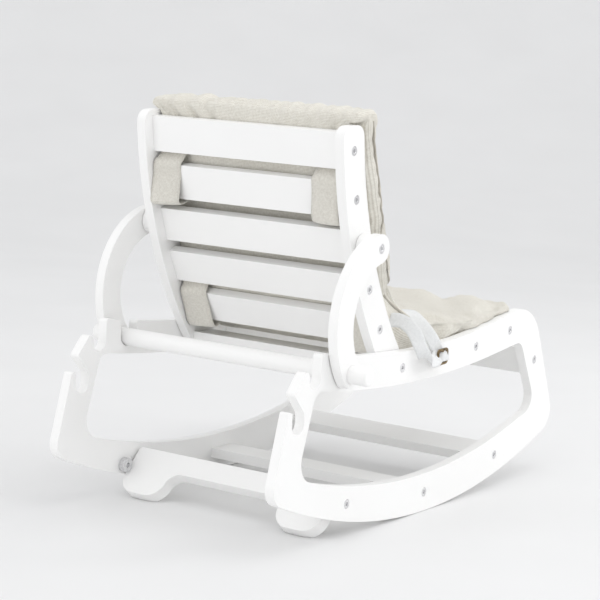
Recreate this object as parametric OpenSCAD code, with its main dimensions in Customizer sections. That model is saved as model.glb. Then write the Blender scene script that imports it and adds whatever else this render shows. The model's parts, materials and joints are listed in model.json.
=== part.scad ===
// Baby rocker with a folding backrest, a notched recline bail and a flip-down stand.
// +X is the sitter's left, -Y the front, +Z up. The origin is on the floor, under the middle.

/* [Seat frame] */
// Clear width between the two side panels
seat_w = 365; // [300:1:460]
// Thickness of every plywood piece
ply = 15; // [12:0.5:20]
// Radius of the rocking edge under each side panel
rocker_r = 1045; // [900:5:1400]
// Half length of the rocking arc, before the ends run straight
rocker_half = 350; // [300:1:360]
// Distance from the middle to the lower front corner
front_reach = 415; // [400:1:500]
// Height of the runner at its lowest place
runner_h = 58; // [48:1:70]
// Height of the seat rail's top edge at its lowest place
seat_z = 252; // [235:1:320]
// Height of the seat rail itself
rail_h = 48; // [44:1:54]
// Width of every slat and crossbar
slat_w = 52; // [40:0.1:64]
// Distance from one seat slat to the next
seat_pitch = 109; // [90:1:115]

/* [Backrest] */
// Place of the backrest pivot along the seat rail
hinge_y = 88; // [80:1:110]
// Lean of the backrest at its pivot, from upright
back_lean = 39.2; // [30:0.5:45]
// Radius that the backrest is curved to
back_r = 642; // [500:5:900]
// Width of the backrest rails
back_rail_w = 52; // [44:1:60]
// Height of the backrest rails above their top slat
back_rail_over = 8.8; // [4:0.1:60]
// Gap between one backrest slat and the next
back_gap = 17.3; // [8:0.1:18]
// Distance from the pivot to the middle of the lowest backrest slat
first_slat = 72; // [62:1:80]
// Side gap between the backrest rails and the side panels
rail_gap = 1.5; // [1:0.1:4]

/* [Recline bail] */
// Diameter of the wooden support dowel
dowel_d = 26; // [20:0.1:32]
// How far the dowel stands out past each support arm
dowel_out = 29; // [10:1:60]
// Width of the curved support arms
arm_w = 41; // [34:1:46]
// How far the support arms bow out from a straight line
arm_bow = 49.4; // [30:0.1:70]
// Side gap between the support arms and the side panels
arm_gap = 1.5; // [1:0.1:4]
// Place of the upright notch, where the dowel rests, along the seat rail
notch_y = 251; // [225:1:300]
// Free width beside the dowel in the upright notch
notch_play = 10; // [4:0.5:16]
// Play round the dowel in the two recline hooks
hook_play = 1; // [0.5:0.1:2]

/* [Stand] */
// Place of the stand's pivot along the runner
stand_y = 218.5; // [205:1:235]
// Angle of the lowered stand below level
stand_tilt = 46; // [40:1:55]
// Thickness of the stand board
stand_t = 20; // [14:1:22]
// Height of the stand board between its feet
stand_h = 33; // [26:1:40]
// Length of the feet below the pivot
foot_len = 62; // [60:1:66]
// Width of each foot
foot_w = 75; // [50:1:100]
// Diameter of the metal stops on the side panels
stop_d = 22; // [14:1:26]

/* [Cushion and harness] */
// Thickness of the pad in front of the backrest rails
pad_t = 34; // [20:1:45]
// How far the seat pad stands above the seat rails
seat_pad_rise = 15; // [10:1:30]
// Width of the fabric tabs round the slats
tab_w = 47; // [30:1:60]
// Width of the harness webbing
web_w = 20; // [15:1:30]

/* [Screws] */
// Diameter of the screw heads
head_d = 13.5; // [9:0.5:16]
// Diameter of the screw shanks
screw_d = 5; // [4:0.5:6]
// Diameter of the pivot bolts
bolt_d = 8; // [6:0.5:9]

/* [Hidden] */
$fn = 64;
// Gap between pieces that stay still against each other
touch = 0.1;
// Gap between pieces that move past each other
slip = 0.3;
// Radial gap of a pivot bolt in its bore
bolt_fit = 0.06;
head_h = 3;
screw_len = 38;
bolt_in_slat = 24;
hex_across = 5;
// Largest distance between a drawn arc and the true one
arc_error = 0.04;

seat_slats = 3;
back_slats = 5;
pivot_slat = 2;

half_in = seat_w / 2;
half_out = half_in + ply;
rocker_tilt = asin(rocker_half / rocker_r);

// The seat rail sags to its lowest place here
seat_dip_y = 50;
seat_top_r = 1600;
seat_top_tilt = 8.95;
seat_under_r = 2007;
seat_under_tilt = 6.9;
runner_top_r = 1134;
runner_top_y = 28;
runner_top_tilt = 14.2;

// Front upright and the walls of the side opening
front_lean = 25.5;
calf_drop = 58;
upright_w = slat_w + 5;
inner_lean = 29.8;
rear_wall_lean = 16.9;
rear_wall = 59;

dowel_r = dowel_d / 2;
hook_r = dowel_r + hook_play;
notch_w = dowel_d + notch_play;
notch_edge = 8;
// Middles of the dowel in the upright notch and in the two recline hooks
notch = [notch_y, seat_z - 12.2];
hook_1 = notch + [66, -0.8];
hook_2 = notch + [101.5, -59.3];
rear_reach = hook_2[0] + 54.5;
// Heights above the dowel's middle in a hook, and how far its horns reach
lip_rise = 19;
lip_w = 9;
throat_rise = 13;
horn_rise = 42;
horn_out = 12.5;
crest_rise = 23;

function unit(v) = v / norm(v);
function yz(p) = [p[0], p[1]];
// Height of a shallow arc's end tangent above the place where the two end tangents meet
function dip(low, r, tilt) = low - r * (1 / cos(tilt) - 1);
function bowl(y, mid, low, r) = low + r - sqrt(r * r - (y - mid) * (y - mid));

// Points of the arc that rounds the corner b, between a and c, to radius r
function fillet(a, b, c, r) =
    let(u = unit(a - b), v = unit(c - b),
        half = acos(max(-1, min(1, u * v))) / 2,
        middle = b + unit(u + v) * r / sin(half),
        from = b + u * r / tan(half) - middle,
        to = b + v * r / tan(half) - middle,
        a0 = atan2(from[1], from[0]),
        turn = atan2(from[0] * to[1] - from[1] * to[0], from * to),
        steps = max(2, ceil(abs(turn) / (2 * acos(1 - arc_error / r)))))
    [for (i = [0:steps]) middle + r * [cos(a0 + turn * i / steps), sin(a0 + turn * i / steps)]];

// A closed outline from [y, z, corner radius] points
function rounded(path) =
    let(n = len(path))
    [for (i = [0:n - 1])
        each path[i][2] > 0
            ? fillet(yz(path[(i + n - 1) % n]), yz(path[i]), yz(path[(i + 1) % n]), path[i][2])
            : [yz(path[i])]];

// Heights along the side panel
function rocker_z(y) = bowl(y, 0, 0, rocker_r);
function runner_top(y) = bowl(y, runner_top_y, runner_h, runner_top_r);
function runner_mid(y) = (rocker_z(y) + runner_top(y)) / 2;
function rail_top(y) = bowl(y, seat_dip_y, seat_z, seat_top_r);
function rail_under(y) = bowl(y, seat_dip_y, seat_z - rail_h, seat_under_r);
function rail_mid(y) = (rail_top(y) + rail_under(y)) / 2;
function rail_slope(y) = atan((rail_mid(y + 1) - rail_mid(y - 1)) / 2);
function runner_slope(y) = atan((runner_mid(y + 1) - runner_mid(y - 1)) / 2);

// Straight ends that run on from the shallow arcs
seat_top_dip = dip(seat_z, seat_top_r, seat_top_tilt);
seat_under_dip = dip(seat_z - rail_h, seat_under_r, seat_under_tilt);
runner_top_dip = dip(runner_h, runner_top_r, runner_top_tilt);
rocker_dip = dip(0, rocker_r, rocker_tilt);
function rocker_end(y) = rocker_dip + tan(rocker_tilt) * abs(y);
function seat_top_end(y) = seat_top_dip + tan(seat_top_tilt) * abs(y - seat_dip_y);
function runner_top_end(y) = runner_top_dip + tan(runner_top_tilt) * abs(y - runner_top_y);

// Where the line from p at angle a, up from +Y, crosses the line from q at angle b
function meet(p, a, q, b) =
    let(d = q - p, t = (d[0] * sin(b) - d[1] * cos(b)) / sin(b - a))
    p + t * [cos(a), sin(a)];

// The front upright's edges and the rear wall of the side opening
front_low = [-front_reach, rocker_end(front_reach)];
calf_z = seat_z - calf_drop;
calf_edge = meet(front_low, 90 - front_lean, [0, calf_z], 0);
calf_inner = calf_edge + [upright_w + 5, 0];
rear_low = [rear_reach - rear_wall, runner_top_end(rear_reach - rear_wall)];
seat_top_mid = [seat_dip_y, seat_top_dip];
seat_under_mid = [seat_dip_y, seat_under_dip];
runner_top_mid = [runner_top_y, runner_top_dip];

// The top edge of the seat rail, from the upright notch to where it runs straight
seat_top_steps = 30;
seat_top_arc = [for (i = [0:seat_top_steps])
    let(from = notch[0] - notch_w / 2 - notch_edge, to = seat_dip_y - seat_top_r * sin(seat_top_tilt),
        y = from + (to - from) * i / seat_top_steps) [y, rail_top(y), 0]];

function corner(at, r) = [at[0], at[1], r];
panel_outline = [
    corner(front_low, 34),
    [0, rocker_dip, rocker_r],
    [rear_reach, rocker_end(rear_reach), 26],
    [hook_2[0] + hook_r + lip_w + 0.5, hook_2[1] + lip_rise, 3.5],
    [hook_2[0] + hook_r + 0.5, hook_2[1] + lip_rise, 3.5],
    [hook_2[0] + hook_r, hook_2[1] - hook_r, hook_r - 0.5],
    [hook_2[0] - hook_r, hook_2[1] - hook_r, hook_r - 0.5],
    [hook_2[0] - hook_r, hook_2[1] + throat_rise, 15],
    [hook_2[0] + horn_out, hook_2[1] + horn_rise, 4],
    [hook_1[0] + hook_r - 1, hook_1[1] + crest_rise, 7],
    [hook_1[0] + hook_r, hook_1[1] - hook_r, hook_r - 0.5],
    [hook_1[0] - hook_r, hook_1[1] - hook_r, hook_r - 0.5],
    [hook_1[0] - hook_r, seat_top_end(hook_1[0] - hook_r), 5],
    [notch[0] + notch_w / 2, seat_top_end(notch[0] + notch_w / 2), 5],
    [notch[0] + notch_w / 2, notch[1] - dowel_r - slip, notch_w / 2 - 1.5],
    [notch[0] - notch_w / 2, notch[1] - dowel_r - slip, notch_w / 2 - 1.5],
    [notch[0] - notch_w / 2, rail_top(notch[0] - notch_w / 2), 5],
    each seat_top_arc,
    corner(meet(front_low, 90 - front_lean, seat_top_mid, -seat_top_tilt), 78)
];

panel_opening = [
    corner(meet(calf_inner, 90 - inner_lean, runner_top_mid, -runner_top_tilt), 26),
    corner(runner_top_mid, runner_top_r),
    corner(rear_low, 32),
    corner(meet(rear_low, 90 + rear_wall_lean, seat_under_mid, seat_under_tilt), 16),
    corner(seat_under_mid, seat_under_r),
    corner(meet(calf_inner, 90 - inner_lean, seat_under_mid, -seat_under_tilt), 22)
];

// Slats and crossbars of the seat frame: [y, z, slope]
seat_spots = [for (i = [1:seat_slats])
    let(y = hinge_y - i * seat_pitch) [y, rail_mid(y), rail_slope(y)]];
calf_spot = [(calf_edge[0] + calf_inner[0]) / 2, calf_z, 90 - (front_lean + inner_lean) / 2];
front_bar_y = -214;
front_bar_spot = [front_bar_y, runner_mid(front_bar_y), runner_slope(front_bar_y)];
mid_bar_y = 2.5;
mid_bar_spot = [mid_bar_y, runner_mid(mid_bar_y), runner_slope(mid_bar_y)];
frame_screws = concat(seat_spots, [calf_spot, front_bar_spot, mid_bar_spot]);

// Backrest: places along its curve, s above the pivot and off towards the sitter
hinge = [hinge_y, rail_mid(hinge_y)];
back_middle = hinge - back_r * [cos(-back_lean), sin(-back_lean)];
function back_angle(s) = s / back_r * 180 / PI - back_lean;
function back_at(s, off) = back_middle + (back_r - off) * [cos(back_angle(s)), sin(back_angle(s))];
function back_arc(s0, s1, off, steps) =
    [for (i = [0:steps]) back_at(s0 + (s1 - s0) * i / steps, off)];
function slat_s(i) = first_slat + i * (slat_w + back_gap);
rail_x = half_in - rail_gap - ply;
back_half = rail_x - touch;
back_rail_len = slat_s(back_slats - 1) + slat_w / 2 + back_rail_over;

// Recline bail
arm_top = back_at(slat_s(pivot_slat), 0);
arm_x = half_out + arm_gap;
arm_chord = notch - arm_top;
arm_side = [arm_chord[1], -arm_chord[0]] / norm(arm_chord);
arm_r = (pow(norm(arm_chord) / 2, 2) + pow(arm_bow, 2)) / (2 * arm_bow);
arm_middle = (arm_top + notch) / 2 + arm_side * (arm_r - arm_bow);
dowel_half = arm_x + ply + dowel_out;
spacer_r = 19;

// Stand
stand_pivot = [stand_y, runner_mid(stand_y)];
stand_side_gap = 3.5;
stand_half = half_in - stand_side_gap;
stand_down = [cos(stand_tilt), -sin(stand_tilt)];
stand_back = [sin(stand_tilt), cos(stand_tilt)];
stop_drop = 25;
stop_spot = stand_pivot + stand_down * stop_drop + stand_back * (stand_t / 2 + stop_d / 2 + slip);
stop_h = 10;

// Pads
pad_clear = 0.5;
pad_low = 92;
pad_high = slat_s(back_slats - 1) + slat_w / 2 + 28;
seat_pad_front = -262;
seat_pad_rear = 16;
tab_t = 2.5;
tab_slats = [0, back_slats - 2];

// Harness webbing over the right and left seat rails
web_y = -4;
web_t = 1.6;
web_drop = 34;
buckle_y = web_y - web_w - 2;

WHITE_WOOD = [0.95, 0.95, 0.94];
STEEL = [0.72, 0.73, 0.75];
LINEN = [0.80, 0.76, 0.68];
WEBBING = [0.84, 0.84, 0.82];
OLD_BRASS = [0.55, 0.46, 0.32];

// A sheet-like piece drawn in the side view and given its thickness along X
module plate(x, thick) {
    translate([x, 0, 0]) rotate([90, 0, 90]) linear_extrude(thick) children();
}

// A round bar or bore along X
module rod(r, x0, x1, at) {
    translate([x0, at[0], at[1]]) rotate([0, 90, 0]) cylinder(r = r, h = x1 - x0);
}

module both_sides() {
    children();
    mirror([1, 0, 0]) children();
}

// A flat board across the object, its width along the given slope
module board(half_len, spot, wide) {
    translate([0, spot[0], spot[1]]) rotate([spot[2], 0, 0])
        cube([2 * half_len, wide, ply], center = true);
}

// A countersunk hex-socket screw whose head is flush with the face at x
module screw(x, at, shank_r, length) {
    difference() {
        union() {
            rod(head_d / 2, x - head_h, x, at);
            rod(shank_r, x - length, x - head_h + 1, at);
        }
        translate([x - head_h + 1, at[0], at[1]]) rotate([0, 90, 0])
            cylinder(r = hex_across / sqrt(3), h = head_h, $fn = 6);
    }
}

// The hole that the same screw sits in
module screw_hole(x, at, shank_r, length, gap) {
    rod(head_d / 2 + gap + touch, x - head_h - touch, x + 1, at);
    rod(shank_r + gap, x - length - touch, x, at);
}

module side_panel() {
    difference() {
        plate(half_in, ply) difference() {
            polygon(rounded(panel_outline));
            polygon(rounded(panel_opening));
        }
        for (spot = frame_screws)
            screw_hole(half_out, spot, screw_d / 2, screw_len, touch / 2);
        screw_hole(half_out, hinge, bolt_d / 2, screw_len, bolt_fit);
        screw_hole(half_out, stand_pivot, bolt_d / 2, screw_len, bolt_fit);
        rod(bolt_d / 2 + touch, half_in - 1, half_out - 3, stop_spot);
    }
}
module side_panel_left() { color(WHITE_WOOD) side_panel(); }
module side_panel_right() { color(WHITE_WOOD) mirror([1, 0, 0]) side_panel(); }

// A board screwed in between the side panels
module frame_board(spot) {
    color(WHITE_WOOD) difference() {
        board(half_in, spot, slat_w);
        both_sides() screw_hole(half_out, spot, screw_d / 2, screw_len, touch / 2);
    }
}
module seat_slat(i) { frame_board(seat_spots[i - 1]); }
module calf_slat() { frame_board(calf_spot); }
module crossbar_front() { frame_board(front_bar_spot); }
module crossbar_middle() { frame_board(mid_bar_spot); }

module frame_screws() {
    color(STEEL) both_sides() for (spot = frame_screws)
        screw(half_out, spot, screw_d / 2, screw_len);
}
module back_pivot_bolts() {
    color(STEEL) both_sides() screw(half_out, hinge, bolt_d / 2, ply + rail_gap + ply + bolt_in_slat);
}

module back_rail() {
    half = back_rail_w / 2;
    difference() {
        plate(rail_x, ply) polygon(rounded(concat(
            [for (p = back_arc(0, back_rail_len - half, -half, 18)) [p[0], p[1], 0]],
            [for (off = [-half, half]) let(p = back_at(back_rail_len, off)) [p[0], p[1], 18]],
            [for (p = back_arc(back_rail_len - half, 0, half, 18)) [p[0], p[1], 0]],
            [for (off = [half, -half]) let(p = back_at(-half, off)) [p[0], p[1], half - 0.5]])));
        rod(bolt_d / 2 + bolt_fit, rail_x - 1, half_in, hinge);
        for (i = [0:back_slats - 1])
            if (i != pivot_slat)
                screw_hole(rail_x + ply, back_at(slat_s(i), 0), screw_d / 2, screw_len, touch / 2);
        rod(bolt_d / 2 + touch, rail_x - 1, half_in, arm_top);
    }
}
module back_rail_left() { color(WHITE_WOOD) back_rail(); }
module back_rail_right() { color(WHITE_WOOD) mirror([1, 0, 0]) back_rail(); }

module hinge_slat() {
    color(WHITE_WOOD) difference() {
        board(back_half, [hinge[0], hinge[1], rail_slope(hinge_y)], back_rail_w - 4);
        both_sides() rod(bolt_d / 2 + bolt_fit, rail_x - bolt_in_slat - 2, half_in, hinge);
    }
}

module back_slat(i) {
    at = back_at(slat_s(i), 0);
    color(WHITE_WOOD) difference() {
        board(back_half, [at[0], at[1], 90 + back_angle(slat_s(i))], slat_w);
        both_sides()
            if (i == pivot_slat)
                rod(bolt_d / 2 + touch, rail_x - bolt_in_slat - 2, half_in, at);
            else
                screw_hole(rail_x + ply, at, screw_d / 2, screw_len, touch / 2);
    }
}

module back_screws() {
    color(STEEL) both_sides() for (i = [0:back_slats - 1])
        if (i != pivot_slat)
            screw(rail_x + ply, back_at(slat_s(i), 0), screw_d / 2, screw_len);
}

module arm_spacer() {
    difference() {
        rod(spacer_r, rail_x + ply + touch, arm_x - slip, arm_top);
        rod(bolt_d / 2 + touch, rail_x, arm_x + 1, arm_top);
    }
}
module arm_spacer_left() { color(WHITE_WOOD) arm_spacer(); }
module arm_spacer_right() { color(WHITE_WOOD) mirror([1, 0, 0]) arm_spacer(); }

module arm_pivot_bolts() {
    color(STEEL) both_sides()
        screw(arm_x + ply, arm_top, bolt_d / 2, arm_x + ply - rail_x + bolt_in_slat);
}

module support_arm() {
    start = arm_top - arm_middle;
    end = notch - arm_middle;
    a0 = atan2(start[1], start[0]);
    a1 = atan2(end[1], end[0]);
    steps = 30;
    difference() {
        plate(arm_x, ply) union() {
            polygon([for (side = [-1, 1]) for (i = [0:steps])
                let(a = side < 0 ? a0 + (a1 - a0) * i / steps : a1 + (a0 - a1) * i / steps)
                arm_middle + (arm_r + side * arm_w / 2) * [cos(a), sin(a)]]);
            translate(arm_top) circle(r = arm_w / 2);
            translate(notch) circle(r = arm_w / 2);
        }
        screw_hole(arm_x + ply, arm_top, bolt_d / 2, ply + 1, bolt_fit);
        rod(dowel_r + touch / 2, arm_x - 1, arm_x + ply + 1, notch);
    }
}
module support_arm_left() { color(WHITE_WOOD) support_arm(); }
module support_arm_right() { color(WHITE_WOOD) mirror([1, 0, 0]) support_arm(); }

module support_dowel() {
    edge = 2;
    color(WHITE_WOOD) translate([0, notch[0], notch[1]]) rotate([0, 90, 0]) rotate_extrude()
        polygon([[0, -dowel_half], [dowel_r - edge, -dowel_half], [dowel_r, edge - dowel_half],
                 [dowel_r, dowel_half - edge], [dowel_r - edge, dowel_half], [0, dowel_half]]);
}

// One board with two feet, cut level where it meets the floor
module stand_bar() {
    top = -stand_h / 2;
    low = stand_h / 2;
    step = stand_half - foot_w;
    round = foot_w * 0.37;
    color(WHITE_WOOD) difference() {
        translate([0, stand_pivot[0], stand_pivot[1]]) rotate([-stand_tilt, 0, 0])
            linear_extrude(stand_t, center = true) polygon(rounded([
                [stand_half, top, 6], [stand_half, foot_len, round],
                [step, foot_len, round], [step - 4, low, 20],
                [4 - step, low, 20], [-step, foot_len, round],
                [-stand_half, foot_len, round], [-stand_half, top, 6]]));
        translate([0, stand_pivot[0], -50]) cube([2 * seat_w, 400, 100], center = true);
        both_sides() rod(bolt_d / 2 + bolt_fit, stand_half - 32, half_in, stand_pivot);
    }
}
module stand_pivot_bolts() {
    color(STEEL) both_sides()
        screw(half_out, stand_pivot, bolt_d / 2, ply + stand_side_gap + 30);
}

module stand_stops() {
    color(STEEL) both_sides() difference() {
        union() {
            rod(stop_d / 2, half_in - stop_h, half_in - touch, stop_spot);
            rod(bolt_d / 2, half_in - touch - 1, half_out - 4, stop_spot);
        }
        translate([half_in - stop_h - 1, stop_spot[0], stop_spot[1]]) rotate([0, 90, 0])
            cylinder(r = hex_across / sqrt(3) + 1, h = 4, $fn = 6);
    }
}

// A pad in front of the rails, with a part that fills the space between them
module back_cushion() {
    front = back_rail_w / 2 + pad_clear;
    color(LINEN) union() {
        translate([-(rail_x + ply), 0, 0]) plate(0, 2 * (rail_x + ply)) polygon(concat(
            back_arc(pad_low, pad_high, front, 20),
            back_arc(pad_high, pad_low, front + pad_t, 20)));
        translate([pad_clear - rail_x, 0, 0]) plate(0, 2 * (rail_x - pad_clear)) polygon(concat(
            back_arc(pad_low, pad_high, ply / 2 + pad_clear, 20),
            back_arc(pad_high, pad_low, front + 1, 20)));
    }
}

module seat_cushion() {
    steps = 16;
    step = (seat_pad_rear - seat_pad_front) / steps;
    half = half_in - rail_gap;
    color(LINEN) plate(-half, 2 * half) polygon(concat(
        [for (i = [0:steps]) let(y = seat_pad_front + i * step)
            [y, rail_mid(y) + ply / 2 + pad_clear]],
        [for (i = [0:steps]) let(y = seat_pad_rear - i * step) [y, rail_top(y) + seat_pad_rise]]));
}

// A fabric tab from the pad round the back of one slat, open towards the pad
module tab(i) {
    at = back_at(slat_s(i), 0);
    inner = slat_w / 2 + touch;
    face = ply / 2 + touch;
    x = back_half - tab_w - 4;
    color(LINEN) translate([x, at[0], at[1]]) rotate([90 + back_angle(slat_s(i)), 0, 0])
        difference() {
            translate([0, -inner - tab_t, -face - tab_t])
                cube([tab_w, 2 * (inner + tab_t), 2 * face + tab_t - touch]);
            translate([-1, -inner, -face]) cube([tab_w + 2, 2 * inner, 2 * face + 1]);
        }
}
module tab_upper_left() { tab(tab_slats[1]); }
module tab_upper_right() { mirror([1, 0, 0]) tab(tab_slats[1]); }
module tab_lower_left() { tab(tab_slats[0]); }
module tab_lower_right() { mirror([1, 0, 0]) tab(tab_slats[0]); }

// Webbing laid over the seat rail and down its outer face
module harness_strap() {
    top = rail_top(web_y - web_w) + slip;
    out = half_out + slip;
    color(WEBBING) translate([0, web_y, 0]) rotate([90, 0, 0]) linear_extrude(web_w)
        polygon([[half_in, top], [out, top], [out, top - web_drop],
                 [out + web_t, top - web_drop], [out + web_t, top + web_t], [half_in, top + web_t]]);
}
module harness_strap_left() { harness_strap(); }
module harness_strap_right() { mirror([1, 0, 0]) harness_strap(); }

// A three-bar slide buckle beside the webbing
module strap_buckle() {
    wide = web_w + 6;
    tall = 17;
    bar = 3;
    top = rail_top(web_y) - 8;
    color(OLD_BRASS) translate([half_out + slip, buckle_y - wide, top - tall]) difference() {
        cube([2, wide, tall]);
        for (z = [bar, tall / 2 + bar / 2])
            translate([-1, bar, z]) cube([4, wide - 2 * bar, (tall - 3 * bar) / 2]);
    }
}
module strap_buckle_left() { strap_buckle(); }
module strap_buckle_right() { mirror([1, 0, 0]) strap_buckle(); }

side_panel_left();
side_panel_right();
seat_slat(1);  // seat_slat_1
seat_slat(2);  // seat_slat_2
seat_slat(3);  // seat_slat_3
calf_slat();
crossbar_front();
crossbar_middle();
frame_screws();
back_pivot_bolts();
back_rail_left();
back_rail_right();
hinge_slat();
back_slat(4);  // back_slat_1
back_slat(3);  // back_slat_2
back_slat(2);  // back_slat_3
back_slat(1);  // back_slat_4
back_slat(0);  // back_slat_5
back_screws();
arm_spacer_left();
arm_spacer_right();
arm_pivot_bolts();
support_arm_left();
support_arm_right();
support_dowel();
stand_bar();
stand_pivot_bolts();
stand_stops();
back_cushion();
seat_cushion();
tab_upper_left();
tab_upper_right();
tab_lower_left();
tab_lower_right();
harness_strap_left();
harness_strap_right();
strap_buckle_left();
strap_buckle_right();
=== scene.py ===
"""Looks of the baby rocker: painted wood, steel screws, a linen pad with tabs, and harness webbing."""
import json
import math

import bmesh
import bpy
from mathutils import Matrix, Vector, noise


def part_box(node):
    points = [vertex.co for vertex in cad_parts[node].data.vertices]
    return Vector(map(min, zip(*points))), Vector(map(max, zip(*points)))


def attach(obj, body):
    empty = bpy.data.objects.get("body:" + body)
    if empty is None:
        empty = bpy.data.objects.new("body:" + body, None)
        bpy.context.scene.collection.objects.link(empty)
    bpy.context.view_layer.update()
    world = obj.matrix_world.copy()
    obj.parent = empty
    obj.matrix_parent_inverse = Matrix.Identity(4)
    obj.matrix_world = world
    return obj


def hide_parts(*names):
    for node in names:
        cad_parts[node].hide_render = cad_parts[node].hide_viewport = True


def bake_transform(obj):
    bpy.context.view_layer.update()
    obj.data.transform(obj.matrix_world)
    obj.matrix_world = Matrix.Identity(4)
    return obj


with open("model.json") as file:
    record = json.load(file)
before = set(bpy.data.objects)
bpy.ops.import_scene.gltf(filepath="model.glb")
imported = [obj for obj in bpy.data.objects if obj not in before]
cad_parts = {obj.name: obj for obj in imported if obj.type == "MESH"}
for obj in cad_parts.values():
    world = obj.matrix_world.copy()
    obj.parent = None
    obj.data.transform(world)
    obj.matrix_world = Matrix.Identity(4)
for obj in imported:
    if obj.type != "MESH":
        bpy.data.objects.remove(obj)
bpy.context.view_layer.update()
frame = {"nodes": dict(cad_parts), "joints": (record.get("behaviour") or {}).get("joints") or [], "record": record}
NODES = frame["nodes"]
RECORD = frame["record"]
JOINT = {joint["name"]: joint for joint in frame["joints"]}

# Sizes of the frame that the soft pieces follow, in metres, as the CAD model has them
HINGE = Vector(JOINT["backrest_hinge"]["pos_m"])
BACK_R = 0.642
BACK_LEAN = math.radians(39.2)
BACK_MIDDLE = Vector((0, HINGE.y - BACK_R * math.cos(BACK_LEAN), HINGE.z + BACK_R * math.sin(BACK_LEAN)))
RAIL_LOW = 0.252
RAIL_H = 0.048
RAIL_DIP_Y = 0.050
RAIL_TOP_R = 1.600
RAIL_UNDER_R = 2.007
PLY = 0.015
SEAT_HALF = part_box("side_panel_left")[0].x
BACK_RAIL_HALF = 0.026
BACK_RAIL_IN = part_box("back_rail_left")[0].x
SLAT_W = 0.052
SLAT_PITCH = 0.0693
FIRST_SLAT = 0.072
BACK_SLATS = 5


def bowl(y, low, radius):
    """Height of a shallow arc of the side panel at y."""
    return low + radius - math.sqrt(radius ** 2 - (y - RAIL_DIP_Y) ** 2)


def rail_top(y):
    """Height of the top of the side panel's upper rail."""
    return bowl(y, RAIL_LOW, RAIL_TOP_R)


def rail_mid(y):
    """Height of the line that the seat slats lie along."""
    return (rail_top(y) + bowl(y, RAIL_LOW - RAIL_H, RAIL_UNDER_R)) / 2


def back_angle(s):
    """Angle about the curve's middle at s along the backrest from its pivot."""
    return s / BACK_R - BACK_LEAN


def back_at(s, off, x=0.0):
    """A point s up the backrest's curve and off towards the sitter."""
    a = back_angle(s)
    reach = BACK_R - off
    return Vector((x, BACK_MIDDLE.y + reach * math.cos(a), BACK_MIDDLE.z + reach * math.sin(a)))


def smooth(low, high, value):
    """0 up to low, 1 from high on, and a soft step between them."""
    t = min(1.0, max(0.0, (value - low) / (high - low)))
    return t * t * (3 - 2 * t)


# ---------------------------------------------------------------- camera and studio
CAMERA_AT = Vector((-1.5846, 2.4310, 0.6974))
CAMERA_AIM = Vector((0.0321, 0.0226, 0.2941))
CAMERA_ROLL = math.radians(3.136)
CAMERA_LENS = 114.0
CAMERA_SENSOR = 36.0
CAMERA_REACH = 50.0
WORLD_TINT = (0.985, 0.99, 1.0, 1)
WORLD_STRENGTH = 0.96
# Each soft light: (name, place, aim, size, power)
LIGHTS = (("top_softbox", (-0.8, -0.2, 2.7), (0, 0, 0.2), 2.2, 13),
          ("rear_fill", (0.9, 3.2, 0.5), (0, 0.2, 0.3), 1.6, 9),
          ("side_softbox", (-2.2, -2.0, 1.2), (0, 0, 0.3), 1.2, 15))
FLOOR_HALF = 14.0
FLOOR_NEAR = 6.0
FLOOR_FAR = -3.0
FLOOR_BEND = 5.0
FLOOR_BEND_STEPS = 12
FLOOR_WALL = 12.0
FLOOR_TURN = math.radians(34)
FLOOR_DROP = 0.0005


def make_camera():
    data = bpy.data.cameras.new("camera")
    data.lens = CAMERA_LENS
    data.sensor_width = CAMERA_SENSOR
    data.clip_end = CAMERA_REACH
    camera = bpy.data.objects.new("camera", data)
    bpy.context.scene.collection.objects.link(camera)
    aim = (CAMERA_AIM - CAMERA_AT).to_track_quat("-Z", "Y")
    camera.matrix_world = (Matrix.Translation(CAMERA_AT) @ aim.to_matrix().to_4x4()
                           @ Matrix.Rotation(CAMERA_ROLL, 4, "Z"))
    bpy.context.scene.camera = camera


def area_light(name, place, aim, size, power):
    data = bpy.data.lights.new(name, "AREA")
    data.shape = "DISK"
    data.size = size
    data.energy = power
    light = bpy.data.objects.new(name, data)
    light.location = place
    light.rotation_euler = (Vector(aim) - Vector(place)).to_track_quat("-Z", "Y").to_euler()
    bpy.context.scene.collection.objects.link(light)


def make_studio():
    world = bpy.data.worlds.new("studio")
    bpy.context.scene.world = world
    world.use_nodes = True
    background = world.node_tree.nodes["Background"]
    background.inputs["Color"].default_value = WORLD_TINT
    background.inputs["Strength"].default_value = WORLD_STRENGTH
    for light in LIGHTS:
        area_light(*light)
    bpy.context.scene.view_settings.view_transform = "Standard"

    # A floor that curves up into a backdrop behind the object
    rows = [Vector((0, FLOOR_NEAR, 0)), Vector((0, FLOOR_FAR, 0))]
    for i in range(1, FLOOR_BEND_STEPS + 1):
        a = math.pi / 2 * i / FLOOR_BEND_STEPS
        rows.append(Vector((0, FLOOR_FAR - FLOOR_BEND * math.sin(a), FLOOR_BEND * (1 - math.cos(a)))))
    rows.append(Vector((0, FLOOR_FAR - FLOOR_BEND, FLOOR_WALL)))
    mesh = bpy.data.meshes.new("floor")
    turn = Matrix.Rotation(FLOOR_TURN, 4, "Z")
    verts = [turn @ Vector((x, p.y, p.z - FLOOR_DROP)) for p in rows for x in (-FLOOR_HALF, FLOOR_HALF)]
    faces = [(2 * i, 2 * i + 1, 2 * i + 3, 2 * i + 2) for i in range(len(rows) - 1)]
    mesh.from_pydata(verts, [], faces)
    floor = bpy.data.objects.new("floor", mesh)
    bpy.context.scene.collection.objects.link(floor)
    for face in mesh.polygons:
        face.use_smooth = True
    mesh.materials.append(floor_material())


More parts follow.
